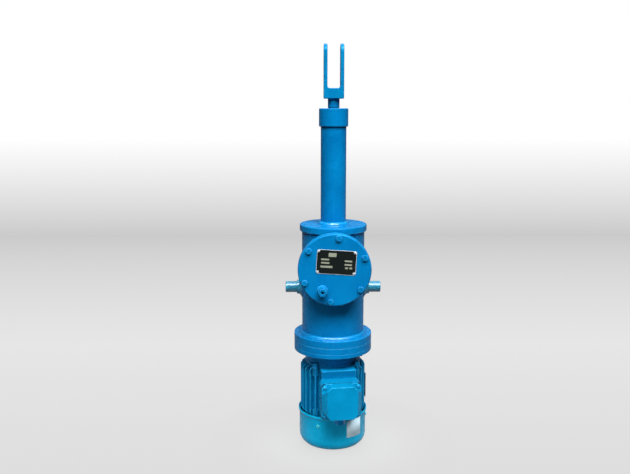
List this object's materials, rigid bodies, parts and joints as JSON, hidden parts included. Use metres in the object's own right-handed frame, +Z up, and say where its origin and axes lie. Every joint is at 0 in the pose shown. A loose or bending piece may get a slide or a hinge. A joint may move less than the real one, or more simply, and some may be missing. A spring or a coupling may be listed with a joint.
{
  "type": "electro-hydraulic actuator",
  "caption": "Upright electro-hydraulic push-rod actuator: finned flange motor below an oil reservoir with side trunnions and a round inspection cover, cylinder and clevis fork on top.",
  "frame": {"origin": "on the main axis, on the flat underside of the motor's fan cowl", "axes": "+Z up along the push rod, which moves out along +Z; -Y is the side of the inspection cover; the trunnions lie along X"},
  "size_m": [0.244, 0.2499, 1.028],
  "materials": {
    "blue_enamel": "glossy sky-blue machine enamel",
    "black_plate": "dark printed plate with a bare border",
    "bare_plate": "brushed plate",
    "chromed_rod": "hard chromed and ground",
    "machined_steel": "turned and oiled",
    "cast_aluminium": "as cast, machined faces",
    "core_steel": "stacked laminations",
    "copper_wire": "varnished copper",
    "bearing_steel": "ground and polished",
    "bronze": "turned bronze",
    "gasket_sheet": "pressed fibre and rubber sheet",
    "seal_rubber": "moulded rubber",
    "fan_plastic": "moulded plastic",
    "board_resin": "moulded resin",
    "gland_plastic": "moulded plastic"
  },
  "bodies": {
    "housing": {"fan_cowl": "blue_enamel", "cowl_screws": "blue_enamel", "rear_end_shield": "blue_enamel", "stator_frame": "blue_enamel", "stator_core": "core_steel", "stator_windings": "copper_wire", "bearing_outer_rings": "bearing_steel", "flange_end_shield": "blue_enamel", "shield_bolts": "blue_enamel", "terminal_box": "blue_enamel", "terminal_box_gasket": "gasket_sheet", "terminal_box_lid": "blue_enamel", "terminal_lid_screws": "blue_enamel", "terminal_board": "board_resin", "cable_gland": "gland_plastic", "rating_plate": "bare_plate", "flange_bolts": "blue_enamel", "pump_plate": "blue_enamel", "flange_gasket": "gasket_sheet", "shaft_seal": "seal_rubber", "reservoir_flange": "blue_enamel", "reservoir_shell": "blue_enamel", "top_plate": "blue_enamel", "inspection_neck": "blue_enamel", "cover_gasket": "gasket_sheet", "inspection_cover": "blue_enamel", "cover_bolts": "blue_enamel", "nameplate": "black_plate", "nameplate_rivets": "bare_plate", "filler_plug": "blue_enamel", "trunnion_left": "blue_enamel", "trunnion_right": "blue_enamel", "pump_bracket": "cast_aluminium", "pump_front_cover": "cast_aluminium", "pump_body": "cast_aluminium", "pump_end_cover": "cast_aluminium", "pump_bolts": "machined_steel", "valve_block": "machined_steel", "relief_valves": "machined_steel", "block_bolts": "machined_steel", "oil_pipes": "machined_steel", "cylinder_base": "machined_steel", "outer_tube": "blue_enamel", "cylinder_barrel": "machined_steel", "gland_cap": "blue_enamel", "guide_bush": "bronze", "gland_seals": "seal_rubber"},
    "piston_seals": {"piston_seals": "seal_rubber"},
    "push_rod": {"piston_rod": "chromed_rod", "piston": "machined_steel", "piston_nut": "machined_steel", "fork": "blue_enamel"},
    "rotor": {"rotor_shaft": "machined_steel", "rotor_core": "core_steel", "cooling_fan": "fan_plastic", "bearing_inner_rings": "bearing_steel", "shaft_coupling": "cast_aluminium", "pump_drive_gear": "machined_steel"},
    "driven_gear": {"pump_driven_gear": "machined_steel"},
    "bearing_balls": {"bearing_balls": "bearing_steel"}
  },
  "joints": [
    {"name": "rod_slide", "type": "slide", "parent": "housing", "child": "piston_seals", "axis": [0, 0, 1], "range_m": [0, 0.2]},
    {"name": "rod_swivel", "type": "hinge", "parent": "piston_seals", "child": "push_rod", "pos_m": [0, 0, 0.58], "axis": [0, 0, 1], "continuous": true},
    {"name": "rotor_spin", "type": "hinge", "parent": "housing", "child": "rotor", "pos_m": [0, 0, 0.16], "axis": [0, 0, 1], "continuous": true},
    {"name": "driven_gear_spin", "type": "hinge", "parent": "housing", "child": "driven_gear", "pos_m": [0, 0.032, 0.39], "axis": [0, 0, 1], "continuous": true},
    {"name": "ball_orbit", "type": "hinge", "parent": "housing", "child": "bearing_balls", "pos_m": [0, 0, 0.16], "axis": [0, 0, 1], "continuous": true}
  ],
  "couplings": [
    {"joint": "driven_gear_spin", "follows": "rotor_spin", "ratio": -1},
    {"joint": "ball_orbit", "follows": "rotor_spin", "ratio": 0.3969}
  ]
}
